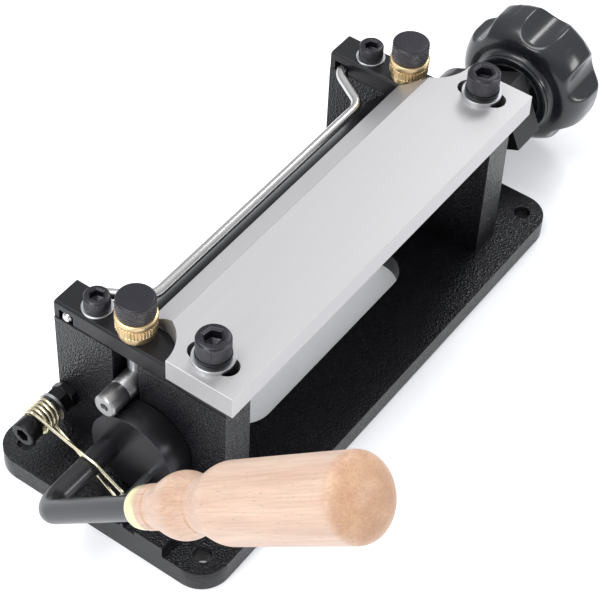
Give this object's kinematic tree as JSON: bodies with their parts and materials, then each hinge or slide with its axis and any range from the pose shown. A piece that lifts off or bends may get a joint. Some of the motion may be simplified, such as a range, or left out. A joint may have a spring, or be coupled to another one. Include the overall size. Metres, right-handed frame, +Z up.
{
  "type": "leather splitting machine",
  "caption": "Bench leather splitter: a bevelled steel blade over a roller between two uprights, lowered by a cam lever with a wooden handle.",
  "frame": {"origin": "centre of the base plate's underside", "axes": "+X along the blade away from the lever, +Y from the blade's thick front towards its cutting edge, +Z up"},
  "size_m": [0.3282, 0.1858, 0.1547],
  "materials": {
    "base_paint": "fine textured black powder coat",
    "upright_black": "satin black",
    "black_screw": "black oxide",
    "bar_black": "black oxide, ground",
    "zinc_steel": "zinc plated",
    "blade_steel": "ground along its length",
    "bright_steel": "bright drawn or turned",
    "roller_black": "black oxide, turned",
    "cap_black": "black oxide, knurled",
    "brass": "turned and knurled",
    "lever_black": "smooth black",
    "ferrule_brass": "pale, spun",
    "beech": "turned beech, light varnish",
    "cam_black": "black oxide, face turned",
    "knob_plastic": "glossy black, moulded",
    "spring_wire": "yellow zinc plated spring wire"
  },
  "bodies": {
    "frame": {"base_plate": "base_paint", "upright_near": "upright_black", "upright_far": "upright_black", "base_screws": "black_screw", "bridge_bar_near": "bar_black", "bridge_bar_far": "bar_black", "bar_bolts": "black_screw", "bar_washers": "zinc_steel", "blade": "blade_steel", "blade_bolts": "black_screw", "blade_lock_washers": "black_screw", "blade_washers": "zinc_steel", "spring_bolt": "black_screw", "spring_nuts": "black_screw", "spring_washer": "zinc_steel", "return_spring": "spring_wire"},
    "lever": {"lever_rod": "lever_black", "ferrule": "ferrule_brass", "handle": "beech", "cam_near": "cam_black", "cam_far": "cam_black", "set_screws": "black_screw", "spring_pin": "zinc_steel", "crank_block": "bar_black", "knob_stud": "zinc_steel"},
    "knob_body": {"hand_knob": "knob_plastic"},
    "roller_axle": {"roller_shaft": "bright_steel"},
    "roller_body": {"roller": "roller_black"},
    "guide": {"guide_rod": "bright_steel"},
    "adjuster_stem_body_near": {"adjuster_stem_near": "zinc_steel"},
    "adjuster_stem_body_far": {"adjuster_stem_far": "zinc_steel"},
    "adjuster_cap_body_near": {"adjuster_cap_near": "cap_black"},
    "adjuster_cap_body_far": {"adjuster_cap_far": "cap_black"},
    "lock_nut_body_near": {"lock_nut_near": "brass"},
    "lock_nut_body_far": {"lock_nut_far": "brass"}
  },
  "joints": [
    {"name": "lever_press", "type": "hinge", "parent": "frame", "child": "lever", "pos_m": [0, 0.006, 0.029], "axis": [1, 0, 0], "range_deg": [0, 15], "stiffness_Nm_per_rad": 0.8, "springref_deg": -34.38, "deforming": ["return_spring"]},
    {"name": "roller_lift", "type": "slide", "parent": "frame", "child": "roller_axle", "axis": [0, 0, 1], "range_m": [-0.0033, 0]},
    {"name": "roller_spin", "type": "hinge", "parent": "roller_axle", "child": "roller_body", "pos_m": [0, 0.006, 0.0528], "axis": [1, 0, 0], "continuous": true},
    {"name": "knob_turn", "type": "hinge", "parent": "lever", "child": "knob_body", "pos_m": [0.16, -0.0122, 0.03729], "axis": [1, 0, 0], "continuous": true},
    {"name": "guide_rod_swing", "type": "hinge", "parent": "frame", "child": "guide", "pos_m": [0, 0.0335, 0.07035], "axis": [-1, 0, 0], "range_deg": [0, 30]},
    {"name": "adjuster_turn_near", "type": "hinge", "parent": "adjuster_stem_body_near", "child": "adjuster_cap_body_near", "pos_m": [-0.08635, 0.006, 0.09], "axis": [0, 0, 1], "range_deg": [0, 720]},
    {"name": "adjuster_rise_near", "type": "slide", "parent": "frame", "child": "adjuster_stem_body_near", "axis": [0, 0, 1], "range_m": [0, 0.0025]},
    {"name": "lock_nut_turn_near", "type": "hinge", "parent": "frame", "child": "lock_nut_body_near", "pos_m": [-0.08635, 0.006, 0.08], "axis": [0, 0, 1], "range_deg": [0, 60]},
    {"name": "adjuster_turn_far", "type": "hinge", "parent": "adjuster_stem_body_far", "child": "adjuster_cap_body_far", "pos_m": [0.08635, 0.006, 0.09], "axis": [0, 0, 1], "range_deg": [0, 720]},
    {"name": "adjuster_rise_far", "type": "slide", "parent": "frame", "child": "adjuster_stem_body_far", "axis": [0, 0, 1], "range_m": [0, 0.0025]},
    {"name": "lock_nut_turn_far", "type": "hinge", "parent": "frame", "child": "lock_nut_body_far", "pos_m": [0.08635, 0.006, 0.08], "axis": [0, 0, 1], "range_deg": [0, 60]}
  ],
  "couplings": [
    {"joint": "roller_lift", "follows": "lever_press", "m_per_rad": -0.012338},
    {"joint": "adjuster_rise_near", "follows": "adjuster_turn_near", "m_per_rad": 0.00019894},
    {"joint": "adjuster_rise_far", "follows": "adjuster_turn_far", "m_per_rad": 0.00019894}
  ]
}
